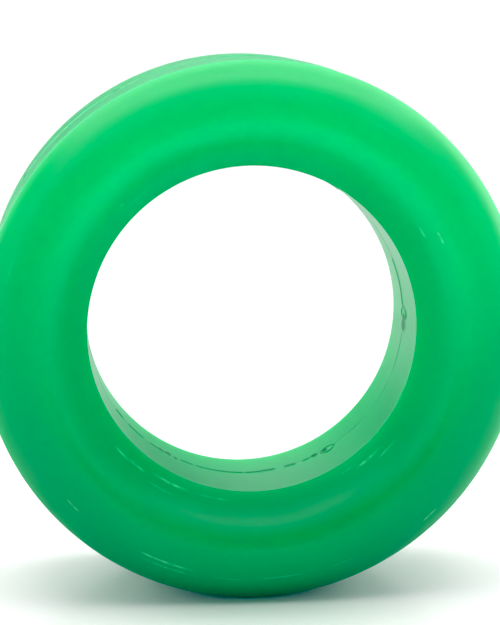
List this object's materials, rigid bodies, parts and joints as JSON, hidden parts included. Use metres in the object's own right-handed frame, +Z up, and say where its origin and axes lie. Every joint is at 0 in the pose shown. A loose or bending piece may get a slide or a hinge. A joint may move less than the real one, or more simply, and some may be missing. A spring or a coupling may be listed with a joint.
{
  "type": "vibration damping ring",
  "caption": "Soft one-piece elastomer ring with flat bore and outer lands and domed faces, stretched over a racket's handle or shaft to damp vibration.",
  "frame": {"origin": "centre of the ring: on the bore axis, in the mould's parting plane halfway between the two faces", "axes": "+Y along the bore axis, the front face looks towards -Y; +Z up, the ring stands on edge; the section is the same all round"},
  "size_m": [0.0492, 0.0204, 0.0492],
  "materials": {
    "green_elastomer": "smooth semi-gloss translucent green silicone or thermoplastic elastomer, milky where light grazes it"
  },
  "bodies": {
    "root": {"damper_ring": "green_elastomer"}
  },
  "joints": []
}
